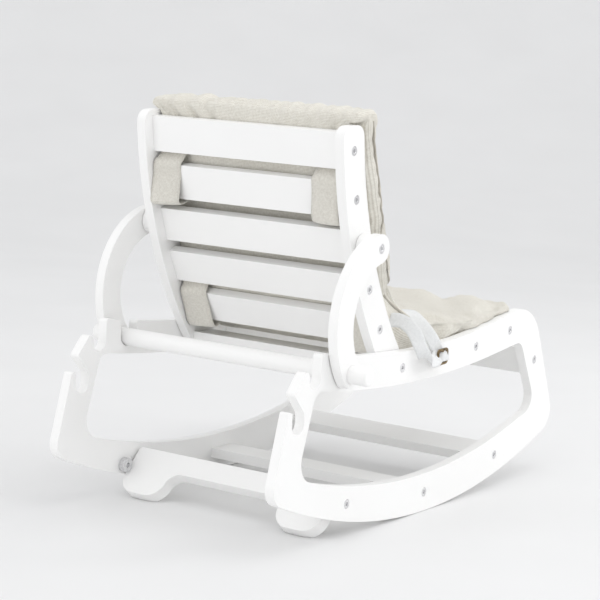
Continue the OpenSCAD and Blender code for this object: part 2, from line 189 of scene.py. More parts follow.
# ---------------------------------------------------------------- materials
class Nodes:
    """Short calls for building a material's node tree."""

    def __init__(self, name):
        self.material = bpy.data.materials.new(name)
        self.material.use_nodes = True
        self.tree = self.material.node_tree
        self.shader = self.tree.nodes["Principled BSDF"]

    def add(self, kind, **values):
        node = self.tree.nodes.new(kind)
        for key, value in values.items():
            if key in node.inputs:
                node.inputs[key].default_value = value
            else:
                setattr(node, key, value)
        return node

    def link(self, a, b):
        self.tree.links.new(a, b)

    def math(self, operation, a, b=None):
        node = self.tree.nodes.new("ShaderNodeMath")
        node.operation = operation
        for socket, value in zip(node.inputs, (a, b)):
            if value is None:
                continue
            if isinstance(value, (int, float)):
                socket.default_value = value
            else:
                self.link(value, socket)
        return node.outputs[0]

    def noise(self, scale, detail=2.0, vector=None, roughness=0.5):
        node = self.add("ShaderNodeTexNoise", Scale=scale, Detail=detail, Roughness=roughness)
        self.link(vector or self.place(), node.inputs["Vector"])
        return node.outputs["Fac"]

    def place(self):
        return self.add("ShaderNodeTexCoord").outputs["Object"]

    def ramp(self, value, stops):
        node = self.add("ShaderNodeValToRGB")
        elements = node.color_ramp.elements
        while len(elements) < len(stops):
            elements.new(0.5)
        for element, (position, colour) in zip(elements, stops):
            element.position = position
            element.color = (*colour, 1)
        self.link(value, node.inputs["Fac"])
        return node.outputs["Color"]

    def bump(self, height, distance, strength=1.0, under=None):
        node = self.add("ShaderNodeBump", Distance=distance, Strength=strength)
        self.link(height, node.inputs["Height"])
        if under:
            self.link(under, node.inputs["Normal"])
        return node.outputs["Normal"]

    def finish(self, colour=None, roughness=None, normal=None, **sockets):
        for socket, value in (("Base Color", colour), ("Roughness", roughness), ("Normal", normal)):
            if value is None:
                continue
            if isinstance(value, (float, tuple)):
                self.shader.inputs[socket].default_value = value
            else:
                self.link(value, self.shader.inputs[socket])
        for socket, value in sockets.items():
            self.shader.inputs[socket.replace("_", " ")].default_value = value
        return self.material


def floor_material():
    n = Nodes("studio_floor")
    colour = n.ramp(n.noise(3.0), [(0.3, (0.81, 0.81, 0.81)), (0.7, (0.83, 0.83, 0.83))])
    return n.finish(colour, 0.6)


def wood_material():
    """White satin paint over plywood: faint roller texture, slight tone changes, softer worn edges."""
    n = Nodes("white_paint")
    tone = n.ramp(n.noise(7.0, 3.0), [(0.25, (0.925, 0.922, 0.912)), (0.75, (0.95, 0.948, 0.94))])
    edge = n.add("ShaderNodeNewGeometry").outputs["Pointiness"]
    worn = n.ramp(edge, [(0.52, (0, 0, 0)), (0.62, (1, 1, 1))])
    mix = n.add("ShaderNodeMix", data_type="RGBA")
    fade = n.math("MULTIPLY", worn, 0.35)
    n.link(fade, mix.inputs[0])
    n.link(tone, mix.inputs[6])
    mix.inputs[7].default_value = (0.93, 0.925, 0.91, 1)
    rough = n.ramp(n.noise(22.0, 3.0), [(0.3, (0.36, 0.36, 0.36)), (0.7, (0.46, 0.46, 0.46))])
    peel = n.bump(n.noise(420.0, 2.0), 0.0002, 0.35)
    roller = n.bump(n.noise(60.0, 2.0), 0.0004, 0.25, peel)
    return n.finish(mix.outputs[2], rough, roller, Coat_Weight=0.12, Coat_Roughness=0.3)


def steel_material():
    n = Nodes("hex_steel")
    scratch = n.noise(900.0, 3.0)
    rough = n.ramp(scratch, [(0.3, (0.14, 0.14, 0.14)), (0.7, (0.30, 0.30, 0.30))])
    tone = n.ramp(n.noise(260.0), [(0.3, (0.62, 0.62, 0.63)), (0.7, (0.78, 0.78, 0.79))])
    return n.finish(tone, rough, n.bump(scratch, 0.00005, 0.3), Metallic=1.0)


def brass_material():
    n = Nodes("antique_brass")
    patina = n.noise(180.0, 4.0)
    tone = n.ramp(patina, [(0.35, (0.12, 0.085, 0.045)), (0.7, (0.36, 0.28, 0.17))])
    rough = n.ramp(patina, [(0.3, (0.5, 0.5, 0.5)), (0.7, (0.28, 0.28, 0.28))])
    return n.finish(tone, rough, n.bump(patina, 0.0001, 0.4), Metallic=1.0)


def woven(name, thread, dark, light, depth, wander):
    """Plain weave from the UV map in metres: threads pass over and under by a checkerboard."""
    n = Nodes(name)
    uv = n.add("ShaderNodeUVMap", uv_map="cloth").outputs["UV"]
    drift = n.noise(35.0, 2.0, uv)
    split = n.add("ShaderNodeSeparateXYZ")
    n.link(uv, split.inputs[0])
    wobble = n.math("MULTIPLY", n.math("SUBTRACT", drift, 0.5), wander)
    across = n.math("ADD", split.outputs[0], wobble)
    along = n.math("ADD", split.outputs[1], wobble)
    ridge_a = n.math("ABSOLUTE", n.math("SINE", n.math("MULTIPLY", across, math.pi / thread)))
    ridge_b = n.math("ABSOLUTE", n.math("SINE", n.math("MULTIPLY", along, math.pi / thread)))
    cell_a = n.math("FLOOR", n.math("MULTIPLY", across, 1 / thread))
    cell_b = n.math("FLOOR", n.math("MULTIPLY", along, 1 / thread))
    over = n.math("MODULO", n.math("ABSOLUTE", n.math("ADD", cell_a, cell_b)), 2.0)
    under = n.math("SUBTRACT", 1.0, over)
    weave = n.math("ADD", n.math("MULTIPLY", ridge_a, over), n.math("MULTIPLY", ridge_b, under))
    slub = n.noise(260.0, 3.0, uv)
    mottled = n.math("ADD", n.math("MULTIPLY", weave, 0.55), n.math("MULTIPLY", slub, 0.45))
    blotch = n.noise(9.0, 2.0, uv)
    value = n.math("ADD", n.math("MULTIPLY", mottled, 0.8), n.math("MULTIPLY", blotch, 0.2))
    tone = n.ramp(value, [(0.25, dark), (0.75, light)])
    normal = n.bump(weave, depth, 0.8, n.bump(slub, depth * 0.8, 0.5))
    return n.finish(tone, 0.88, normal, Sheen_Weight=0.25, Sheen_Roughness=0.5)


make_camera()
WOOD = wood_material()
STEEL = steel_material()
BRASS = brass_material()
LINEN = woven("natural_linen", 0.0021, (0.56, 0.515, 0.425), (0.97, 0.95, 0.875), 0.0007, 0.0012)
TABS = woven("tab_linen", 0.0014, (0.56, 0.52, 0.44), (0.95, 0.93, 0.86), 0.0005, 0.0008)
# The piping is the pad's linen painted much darker: painted shade for the dark line along the sewn seam
SEAM_SHADE_PIPING = woven("linen_piping_painted_seam_shade", 0.0010, (0.33, 0.29, 0.23), (0.68, 0.64, 0.56), 0.0006, 0.0006)
WEBBING = woven("harness_webbing", 0.0016, (0.72, 0.73, 0.73), (0.97, 0.98, 0.98), 0.0003, 0.0001)
make_studio()

# ---------------------------------------------------------------- the CAD nodes that stay
WOOD_EDGE = 0.0022
METAL_EDGE = 0.0007
WELD_REACH = 0.00001
FLAT_ANGLE = math.radians(0.2)
SHARP_ANGLE = math.radians(40)
BEVEL_STEPS = 3
SLOT_LOOK = {"painted_wood": (WOOD, WOOD_EDGE),
             "steel": (STEEL, METAL_EDGE),
             "old_brass": (BRASS, METAL_EDGE)}


def dress_cad_nodes():
    """Give the wood and metal nodes their material and softly rounded edges."""
    for part in RECORD["subparts"]:
        look = SLOT_LOOK.get(part["material_slot"])
        if look is None:
            continue
        material, edge = look
        node = NODES[part["node"]]
        node.data.materials.clear()
        node.data.materials.append(material)
        if "custom_normal" in node.data.attributes:
            node.data.attributes.remove(node.data.attributes["custom_normal"])
        node.data.polygons.foreach_set("use_smooth", [True] * len(node.data.polygons))
        weld = node.modifiers.new("weld", "WELD")
        weld.merge_threshold = WELD_REACH
        flat = node.modifiers.new("merge_flat_faces", "DECIMATE")
        flat.decimate_type = "DISSOLVE"
        flat.angle_limit = FLAT_ANGLE
        bevel = node.modifiers.new("soft_edges", "BEVEL")
        bevel.width = edge
        bevel.segments = BEVEL_STEPS
        bevel.limit_method = "ANGLE"
        bevel.angle_limit = SHARP_ANGLE
        bevel.use_clamp_overlap = True
        normals = node.modifiers.new("flat_faces", "WEIGHTED_NORMAL")
        normals.keep_sharp = False


dress_cad_nodes()


# ---------------------------------------------------------------- helpers for soft pieces
def spline(values, steps):
    """Points along a Catmull-Rom curve through the given vectors."""
    out = []
    for i in range(len(values) - 1):
        a, b, c, d = (values[max(0, min(len(values) - 1, i + k))] for k in (-1, 0, 1, 2))
        for step in range(steps):
            t = step / steps
            out.append(((2 * b) + (c - a) * t + (2 * a - 5 * b + 4 * c - d) * t * t
                        + (3 * b - a - 3 * c + d) * t ** 3) / 2)
    out.append(values[-1].copy())
    return out


def new_object(name, verts, faces, uvs, materials):
    """A mesh object whose cloth UV map is in metres; uvs has one pair per face corner."""
    mesh = bpy.data.meshes.new(name)
    mesh.from_pydata(verts, [], faces)
    layer = mesh.uv_layers.new(name="cloth")
    for loop, uv in zip(layer.data, uvs):
        loop.uv = uv
    for face in mesh.polygons:
        face.use_smooth = True
    for material in materials:
        mesh.materials.append(material)
    piece = bpy.data.objects.new(name, mesh)
    bpy.context.scene.collection.objects.link(piece)
    return piece


# How much thinner a ribbon is at its very edges, and how late across its width that starts
EDGE_THINNING = 0.5
EDGE_POWER = 8


def ribbon(name, spots, width, thick, material, steps=8, columns=6, cup=0.0):
    """A flat strap along a curve; each spot is (point, side), and side points across the strap."""
    points = spline([spot[0] for spot in spots], steps)
    sides = spline([spot[1] for spot in spots], steps)
    ring = 2 * (columns + 1)
    verts, length = [], [0.0]
    for i, point in enumerate(points):
        ahead = points[min(i + 1, len(points) - 1)] - points[max(i - 1, 0)]
        ahead.normalize()
        side = (sides[i] - ahead * sides[i].dot(ahead)).normalized()
        up = side.cross(ahead)
        if i:
            length.append(length[-1] + (point - points[i - 1]).length)
        for face in (1, -1):
            for j in range(columns + 1):
                t = (2 * j / columns - 1) * face
                thin = thick / 2 * (1 - EDGE_THINNING * abs(t) ** EDGE_POWER)
                verts.append(point + side * t * width / 2 + up * (face * thin + cup * (1 - t * t)))
    faces, uvs = [], []
    across = [width * j / columns for j in range(columns + 1)]
    across += [width + value for value in across]
    for i in range(len(points) - 1):
        for j in range(ring):
            k = (j + 1) % ring
            faces.append((i * ring + j, i * ring + k, (i + 1) * ring + k, (i + 1) * ring + j))
            u0 = across[j]
            u1 = across[k] if k else across[j]
            uvs += [(u0, length[i]), (u1, length[i]), (u1, length[i + 1]), (u0, length[i + 1])]
    last = (len(points) - 1) * ring
    for start, flip in ((0, False), (last, True)):
        for j in range(columns):
            face = [start + j, start + j + 1, start + ring - 2 - j, start + ring - 1 - j]
            faces.append(tuple(face if flip else reversed(face)))
            uvs += [(0, 0)] * 4
    return new_object(name, verts, faces, uvs, [material])


def soften(piece):
    """One level of subdivision, applied."""
    level = piece.modifiers.new("smooth", "SUBSURF")
    level.levels = 1
    level.render_levels = 1
    apply_modifiers(piece)


def apply_modifiers(piece):
    """Replace the piece's mesh with what its modifiers make of it."""
    done = piece.evaluated_get(bpy.context.evaluated_depsgraph_get())
    mesh = bpy.data.meshes.new_from_object(done)
    piece.modifiers.clear()
    piece.data = mesh


def join(target, others):
    """Make the other objects part of the target."""
    with bpy.context.temp_override(active_object=target, selected_editable_objects=[target, *others]):
        bpy.ops.object.join()


def recalculate(piece):
    """Turn every face of a closed mesh outwards."""
    work = bmesh.new()
    work.from_mesh(piece.data)
    bmesh.ops.recalc_face_normals(work, faces=work.faces)
    work.to_mesh(piece.data)
    work.free()


# ---------------------------------------------------------------- the pad
PAD_HALF = 0.183
PAD_GAP = 0.0006
SEAT_RUN = 0.270
BEND_RUN = 0.120
BACK_LOW = 0.055
BACK_THICK = 0.0605
PAD_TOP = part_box("back_cushion")[1].z
PAD_END = BACK_R * (math.asin((PAD_TOP - BACK_MIDDLE.z) / (BACK_R - BACK_THICK)) + BACK_LEAN)
BACK_RUN = PAD_END - BACK_LOW
PAD_RUN = SEAT_RUN + BEND_RUN + BACK_RUN
SEAT_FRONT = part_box("seat_cushion")[0].y
SLAT_FACE = PLY / 2 + PAD_GAP
RAIL_FACE = BACK_RAIL_HALF + 0.0008
PAD_FACE = 0.0600
SEAT_RISE = 0.0115
SEAT_CROWN = 0.0140
CROWN_RISE = (0.35, 1.0)
# The seat ends just before this run, so that the bend can start from its last point
SEAT_LAST = SEAT_RUN - 1e-6
# Pulls of the bend's curves at their seat end and back end, for the underside and the upper side
UNDER_PULLS = (Vector((0, 0.046, 0.004)), Vector((0, 0.030, 0.036)))
FACE_PULLS = (Vector((0, 0.050, 0.008)), Vector((0, 0.018, 0.034)))
# The underside is hollow behind the middle slats, where the pad hangs away from them
HOLLOW_DEEP = 0.014
HOLLOW_AT = FIRST_SLAT + 2.1 * SLAT_PITCH
HOLLOW_REACH = 0.070


def bezier(a, b, c, d, t):
    return a * (1 - t) ** 3 + b * 3 * t * (1 - t) ** 2 + c * 3 * t * t * (1 - t) + d * t ** 3


def under_path(run):
    """The pad's underside in the side view, from the front of the seat to the top of the back."""
    if run < SEAT_RUN:
        y = SEAT_FRONT + run
        return Vector((0, y, rail_mid(y) + SLAT_FACE))
    if run < SEAT_RUN + BEND_RUN:
        t = (run - SEAT_RUN) / BEND_RUN
        first = under_path(SEAT_LAST)
        last = back_at(BACK_LOW, SLAT_FACE)
        return bezier(first, first + UNDER_PULLS[0], last - UNDER_PULLS[1], last, t)
    s = BACK_LOW + run - SEAT_RUN - BEND_RUN
    hollow = (s - HOLLOW_AT) / HOLLOW_REACH
    return back_at(s, SLAT_FACE + HOLLOW_DEEP * math.exp(-hollow * hollow))


SEAT_TOP_END = -0.040
BACK_TOP_START = 0.128


def face_path(run):
    """The pad's upper side in the side view."""
    if run < SEAT_RUN:
        t = run / SEAT_RUN
        y = SEAT_FRONT + (SEAT_TOP_END - SEAT_FRONT) * t
        return Vector((0, y, rail_top(y) + SEAT_RISE + SEAT_CROWN * smooth(*CROWN_RISE, t)))
    if run < SEAT_RUN + BEND_RUN:
        t = (run - SEAT_RUN) / BEND_RUN
        first = face_path(SEAT_LAST)
        last = back_at(BACK_TOP_START, PAD_FACE)
        return bezier(first, first + FACE_PULLS[0], last - FACE_PULLS[1], last, t)
    t = (run - SEAT_RUN - BEND_RUN) / BACK_RUN
    return back_at(BACK_TOP_START + (PAD_END - BACK_TOP_START) * t, PAD_FACE)


BEND_MIDDLE = SEAT_RUN + 0.42 * BEND_RUN
BEND_SPREAD = (0.045, 0.105)


def bend_share(run):
    """1 where the pad turns from the seat to the back, 0 well away from there."""
    return 1 - smooth(*BEND_SPREAD, abs(run - BEND_MIDDLE))


# Half widths of the pad: (at its underside, how much wider at its upper side)
SEAT_HALVES = (0.1812, 0.0055)
BEND_HALVES = (0.1600, 0.0160)
# On the back it lies between the rails and is wider in front of them and beyond their tops
BACK_PLAY = 0.0014
BACK_HALF = 0.1872
OVER_RAILS = (PAD_RUN - 0.024, PAD_RUN - 0.014)
# Shares of the pad's depth over which it widens
SEAT_WIDENS = (0.42, 0.62)
BACK_WIDENS = (0.34, 0.42)
BEND_WIDENS = (0.86, 0.97)
SEAT_TO_BACK = (SEAT_RUN - 0.01, SEAT_RUN + 0.05)


def pad_half(run, c):
    """Half width at a share c of the pad's depth: wider in front of the rails, drawn in at the bend."""
    seat = SEAT_HALVES[0] + SEAT_HALVES[1] * smooth(*SEAT_WIDENS, c)
    over = smooth(*OVER_RAILS, run)
    back = (BACK_RAIL_IN - BACK_PLAY) + (BACK_HALF - BACK_RAIL_IN) * max(over, smooth(*BACK_WIDENS, c))
    bend = BEND_HALVES[0] + BEND_HALVES[1] * smooth(*BEND_WIDENS, c)
    share = smooth(*SEAT_TO_BACK, run)
    plain = seat * (1 - share) + back * share
    tuck = bend_share(run)
    return plain * (1 - tuck) + bend * tuck


def rounded(value, low, high, r):
    """Push a point of a box's skin onto the box rounded to radius r."""
    core = Vector(min(max(v, lo + r), hi - r) for v, lo, hi in zip(value, low, high))
    away = value - core
    reach = max(abs(v) for v in away)
    return core + away * (reach / away.length) if away.length > 1e-9 else value


EDGE_R = 0.011
CORNER_R = 0.013
PAD_DEEP = 0.046
CELLS = (58, 110, 9)
BOX_LOW = Vector((-PAD_HALF, 0, 0))
BOX_HIGH = Vector((PAD_HALF, PAD_RUN, PAD_DEEP))


def box_skin():
    """Vertices and quads of a box's skin, as cell numbers, with the axis that each quad faces."""
    index, spots, faces = {}, [], []

    def vertex(key):
        if key not in index:
            index[key] = len(spots)
            spots.append(key)
        return index[key]

    for axis in range(3):
        p, q = [k for k in range(3) if k != axis]
        for end in (0, CELLS[axis]):
            for i in range(CELLS[p]):
                for j in range(CELLS[q]):
                    quad = []
                    for di, dj in ((0, 0), (1, 0), (1, 1), (0, 1)):
                        key = [0, 0, 0]
                        key[axis], key[p], key[q] = end, i + di, j + dj
                        quad.append(vertex(tuple(key)))
                    faces.append((quad, axis))
    return index, spots, faces


def flat_spot(key):
    """Where a cell number lies on the flat pad, with its edges and corners rounded."""
    raw = Vector(lo + (hi - lo) * k / n for k, n, lo, hi in zip(key, CELLS, BOX_LOW, BOX_HIGH))
    soft = rounded(raw, BOX_LOW, BOX_HIGH, EDGE_R)
    deep = Vector((0, 0, 1))
    plan = rounded(Vector((soft.x, soft.y, 0)), BOX_LOW - deep, BOX_HIGH + deep, CORNER_R)
    return Vector((plan.x, plan.y, soft.z))


# The valley crosses the seat at VALLEY_RUN where x is -VALLEY_X
VALLEY_RUN = 0.03
VALLEY_X = 0.07
VALLEY_SLANT = 1.64
VALLEY_REACH = 0.040
VALLEY_DEEP = 0.0080
FRONT_DROP = 0.0030
HILL_HIGH = 0.0030
HILLS = 9
HILL_SEED = 3.7
SEAT_FADE = (SEAT_RUN - 0.10, SEAT_RUN + 0.02)
SIDE_FADE = (-0.07, 0.0)
FRONT_SIDE = (-0.08, 0.0)
FRONT_FADE = (0.08, 0.0)
BEND_SAG = 0.030


def seat_roll(x, run):
    """Soft hills and a slanting valley in the seat, deeper towards the right-hand side."""
    valley = (run - VALLEY_RUN + VALLEY_SLANT * (x + VALLEY_X)) / VALLEY_REACH
    seat = 1 - smooth(*SEAT_FADE, run)
    side = 1 - smooth(*SIDE_FADE, x)
    return seat * (-VALLEY_DEEP * side * math.exp(-valley * valley)
                   - FRONT_DROP * smooth(*FRONT_SIDE, x) * smooth(*FRONT_FADE, run)
                   + HILL_HIGH * noise.noise(Vector((x * HILLS, run * HILLS, HILL_SEED))))


def pad_spot(flat):
    """Where a point of the flat pad comes to on the rocker."""
    c = flat.z / PAD_DEEP
    run = min(max(flat.y, 0.0), PAD_RUN)
    low, high = under_path(run), face_path(run)
    x = flat.x / PAD_HALF * pad_half(run, c)
    a = abs(flat.x) / PAD_HALF
    sag = BEND_SAG * bend_share(run) * (1 - a ** 3)
    spot = low.lerp(high, c)
    spot.x = x
    away = (high - low).normalized()
    return spot + away * (c * c * (seat_roll(flat.x, run) - sag))


CLOTH_FRAMES = 20
CLOTH_PRESSURE = 3.0
CLOTH_SPREAD = 0.045
CLOTH_QUALITY = 5
CLOTH_MASS = 0.3
CLOTH_STRETCH = 12
CLOTH_SHEAR = 4
CLOTH_BEND = 0.4
EDGE_PIN = 1.0
UNDER_PIN = 0.6


def run_cloth(piece, pinned):
    """Let the fabric swell and wrinkle, then give back where every vertex came to."""
    group = piece.vertex_groups.new(name="seam")
    for vertex, weight in pinned:
        group.add([vertex], weight, "REPLACE")
    cloth = piece.modifiers.new("cloth", "CLOTH")
    settings = cloth.settings
    settings.quality = CLOTH_QUALITY
    settings.mass = CLOTH_MASS
    settings.tension_stiffness = CLOTH_STRETCH
    settings.compression_stiffness = CLOTH_STRETCH
    settings.shear_stiffness = CLOTH_SHEAR
    settings.bending_stiffness = CLOTH_BEND
    settings.vertex_group_mass = "seam"
    settings.pin_stiffness = 1.0
    settings.use_pressure = True
    settings.uniform_pressure_force = CLOTH_PRESSURE
    settings.shrink_min = -CLOTH_SPREAD
    settings.effector_weights.gravity = 0
    cloth.collision_settings.use_collision = False
    cloth.point_cache.frame_start = 1
    cloth.point_cache.frame_end = CLOTH_FRAMES
    scene = bpy.context.scene
    for number in range(1, CLOTH_FRAMES + 1):
        scene.frame_set(number)
    bpy.context.view_layer.update()
    done = piece.evaluated_get(bpy.context.evaluated_depsgraph_get())
    places = [vertex.co.copy() for vertex in done.data.vertices]
    piece.modifiers.remove(cloth)
    piece.vertex_groups.clear()
    scene.frame_set(1)
    return places


# Gathers at the top of the back: (place across, depth)
FOLDS = ((0.170, 0.0040), (0.153, 0.0060), (0.117, 0.0065), (0.083, 0.0055), (0.026, 0.0020),
         (-0.045, 0.0018), (-0.108, 0.0028), (-0.149, 0.0060), (-0.166, 0.0060))

# How far the gathers slant, how wide they start and spread, the lips beside them, and where they fade
FOLD_SLANT = 0.22
FOLD_WIDTH = 0.0058
FOLD_SPREAD = 0.08
FOLD_LIP = 0.35
FOLD_FADE = (0.045, 0.110)


def gathers(x, run):
    """Narrow slanting valleys that run down from the top of the back."""
    down = PAD_RUN - run
    height = 0.0
    for place, depth in FOLDS:
        away = (x - place + FOLD_SLANT * down) / (FOLD_WIDTH + FOLD_SPREAD * down)
        height += depth * (FOLD_LIP * math.exp(-away * away / 9) - math.exp(-away * away))
    return height * (1 - smooth(*FOLD_FADE, down))


# Rows of small folds along the sewn edges: (height, reach inwards, length of one fold)
TOP_ROW = (0.0011, 0.030, 0.019)
SIDE_ROW = (0.0004, 0.022, 0.023)
FRONT_ROW = (0.0009, 0.025, 0.024)
CREASE = 0.0009


def fold_row(row, away, along, wander):
    """Height of a row of small folds, away from its seam and along it."""
    height, reach, length = row
    share = away / reach
    return height * math.exp(-share * share) * math.cos(2 * math.pi * (along / length + wander))


def pucker(flat):
    """Small folds that run in from the sewn edges, as a height in metres."""
    x, run, c = flat.x, flat.y, flat.z / PAD_DEEP
    height = fold_row(TOP_ROW, PAD_RUN - run, x, 0.6 * noise.noise(Vector((x * 22, 0, 1))))
    height += fold_row(SIDE_ROW, PAD_HALF - abs(x), run, 0.8 * noise.noise(Vector((run * 18, x, 5))))
    height += fold_row(FRONT_ROW, run, x, 0.5 * noise.noise(Vector((x * 20, 2, 8))))
    height += CREASE * noise.noise(Vector((x * 35, run * 30, c * 2)))
    height += gathers(x, run)
    return height


# The furthest that the cloth simulation may move a point
SWELL = 0.0085
# Just past the tops of the backrest rails, where the pad is free to spread
BACK_TIP = 0.3855
# The backrest's part of the pad starts here along its curve, and the seat's part ends at this y
BACK_START = 0.030
SEAT_END = 0.045
SIDE_GAP = 0.0008
RAIL_SIDE_GAP = 0.0009
# A point this far behind the front of a rail is put beside the rail, and not in front of it
RAIL_SIDE = 0.010
DENT = 0.0035
DENT_REACH = 0.005
TOP_GAP = 0.0010
TOP_REACH = 0.006


def slat_clearance(s):
    """The least distance in front of the slats' middle, less between two slats."""
    place = (s - FIRST_SLAT + SLAT_W / 2) % SLAT_PITCH
    if place < SLAT_W and s < FIRST_SLAT + BACK_SLATS * SLAT_PITCH:
        return SLAT_FACE
    past = min(place - SLAT_W, SLAT_PITCH - place) / DENT_REACH
    return SLAT_FACE - DENT * smooth(0, 1, past)


def keep_clear(spot):
    """Hold a point of the pad off the slats, the backrest rails and the side panels."""
    x, y, z = spot
    angle = math.atan2(z - BACK_MIDDLE.z, y - BACK_MIDDLE.y)
    off = BACK_R - math.hypot(y - BACK_MIDDLE.y, z - BACK_MIDDLE.z)
    s = (angle + BACK_LEAN) * BACK_R
    if s > BACK_TIP and y > 0.0:
        return spot
    if s > BACK_START and y > 0.0:
        if abs(x) < BACK_RAIL_IN - SIDE_GAP:
            off = max(off, slat_clearance(s))
        elif off < RAIL_FACE:
            if off <= RAIL_FACE - RAIL_SIDE:
                x = math.copysign(BACK_RAIL_IN - RAIL_SIDE_GAP, x)
            off = RAIL_FACE
        y = BACK_MIDDLE.y + (BACK_R - off) * math.cos(angle)
        z = BACK_MIDDLE.z + (BACK_R - off) * math.sin(angle)
    elif y < SEAT_END:
        z = max(z, rail_mid(y) + SLAT_FACE)
        if abs(x) > SEAT_HALF - SIDE_GAP and z < rail_top(y) + TOP_GAP:
            if z > rail_top(y) - TOP_REACH:
                z = rail_top(y) + TOP_GAP
            else:
                x = math.copysign(SEAT_HALF - SIDE_GAP, x)
    return Vector((x, y, z))


# Height of the seam on the side of the pad, in cells: along the seat, at the bend and up the back
SEAT_SEAM, BEND_SEAM, BACK_SEAM = 3.6, 8.4, 6.3
# Where along the pad the seam starts and ends, and where it changes height
SEAM_FIRST = 0.026
SEAM_LAST = PAD_RUN - 0.016
BEND_SEAM_RISE = (SEAT_RUN - 0.034, SEAT_RUN + 0.012)
BACK_SEAM_RISE = (SEAT_RUN + 0.5 * BEND_RUN, SEAT_RUN + BEND_RUN + 0.05)
SEAM_PROUD = 0.0008


def seam_line(pad, index, side):
    """The sewn seam: down the edge of the back, across to the rail at the bend, and along the seat."""
    nu = CELLS[1]
    spots = []
    for j in range(nu + 1):
        run = j / nu * PAD_RUN
        if not SEAM_FIRST < run < SEAM_LAST:
            continue
        drop = smooth(*BEND_SEAM_RISE, run)
        back = smooth(*BACK_SEAM_RISE, run)
        level = SEAT_SEAM + (BEND_SEAM - SEAT_SEAM) * drop + (BACK_SEAM - BEND_SEAM) * back
        k = int(level)
        a = pad.data.vertices[index[(side, j, k)]].co
        b = pad.data.vertices[index[(side, j, k + 1)]].co
        spots.append(a.lerp(b, level - k))
    soft = [(spots[i - 1] + spots[i] * 2 + spots[i + 1]) / 4 for i in range(1, len(spots) - 1)]
    out = Vector((math.copysign(SEAM_PROUD, spots[0].x), 0, 0))
    return [spot + out for spot in [spots[0], *soft, spots[-1]]]


def make_pad():
    """The sewn pad with its swollen faces, and the lines of its two side seams."""
    index, keys, quads = box_skin()
    flats = [flat_spot(key) for key in keys]
    start = [pad_spot(flat) for flat in flats]
    faces, uvs = [], []
    for quad, axis in quads:
        faces.append(tuple(quad))
        p, q = {0: (1, 2), 1: (0, 2), 2: (0, 1)}[axis]
        uvs += [(flats[v][p], flats[v][q]) for v in quad]
    pad = new_object("linen_pad", start, faces, uvs, [LINEN])
    recalculate(pad)
    nx, nu, nh = CELLS
    pinned = []
    for number, (i, j, k) in enumerate(keys):
        edges = (i in (0, nx)) + (j in (0, nu)) + (k in (0, nh))
        if edges >= 2:
            pinned.append((number, EDGE_PIN))
        elif k == 0:
            pinned.append((number, UNDER_PIN))
    moved = run_cloth(pad, pinned)
    for number, place in enumerate(moved):
        shift = place - start[number]
        reach = shift.length
        if reach > SWELL:
            shift *= SWELL / reach
        start[number] += shift
    for number, vertex in enumerate(pad.data.vertices):
        vertex.co = start[number]
    pad.data.update()
    seams = [seam_line(pad, index, side) for side in (0, nx)]
    plan = pad.data.attributes.new("plan", "FLOAT_VECTOR", "POINT")
    for item, flat in zip(plan.data, flats):
        item.vector = flat
    soften(pad)
    plan = [item.vector.copy() for item in pad.data.attributes["plan"].data]
    pad.data.attributes.remove(pad.data.attributes["plan"])
    normals = [vertex.normal.copy() for vertex in pad.data.vertices]
    for number, vertex in enumerate(pad.data.vertices):
        vertex.co = keep_clear(vertex.co + normals[number] * pucker(plan[number]))
    pad.data.update()
    return pad, seams


def tube(name, points, radius, material, sides=8):
    """A round tube along a line of points, with closed ends."""
    verts, faces, uvs, length = [], [], [], 0.0
    for i, point in enumerate(points):
        ahead = (points[min(i + 1, len(points) - 1)] - points[max(i - 1, 0)]).normalized()
        side = ahead.cross(Vector((0, 0, 1)) if abs(ahead.z) < 0.9 else Vector((0, 1, 0))).normalized()
        up = side.cross(ahead)
        before = length
        if i:
            length += (point - points[i - 1]).length
        for j in range(sides):
            a = 2 * math.pi * j / sides
            verts.append(point + (side * math.cos(a) + up * math.sin(a)) * radius)
            if i:
                k = (j + 1) % sides
                base = (i - 1) * sides
                faces.append((base + j, base + k, base + sides + k, base + sides + j))
                step = 2 * math.pi * radius / sides
                uvs += [(j * step, before), ((j + 1) * step, before),
                        ((j + 1) * step, length), (j * step, length)]
    last = (len(points) - 1) * sides
    faces += [tuple(reversed(range(sides))), tuple(last + j for j in range(sides))]
    uvs += [(0, 0)] * (2 * sides)
    return new_object(name, verts, faces, uvs, [material])


PIPING_R = 0.0016
PAD, SEAMS = make_pad()
join(PAD, [tube("piping", seam, PIPING_R, SEAM_SHADE_PIPING) for seam in SEAMS])
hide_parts("back_cushion", "seat_cushion")
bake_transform(PAD)


# ---------------------------------------------------------------- tabs round two slats
TAB_W = 0.047
TAB_THICK = 0.0022
TAB_CUP = 0.0012
# How much of a tab's skew turns it, and how much moves it sideways
TAB_TURN = 0.7
TAB_SHIFT = 0.35


def slat_point(number, up, back, x):
    """A point beside a backrest slat: up along its width and back from its middle."""
    middle = back_at(FIRST_SLAT + number * SLAT_PITCH, 0)
    a = back_angle(FIRST_SLAT + number * SLAT_PITCH)
    along = Vector((0, -math.sin(a), math.cos(a)))
    rear = Vector((0, math.cos(a), math.sin(a)))
    return middle + along * up + rear * back + Vector((x, 0, 0))


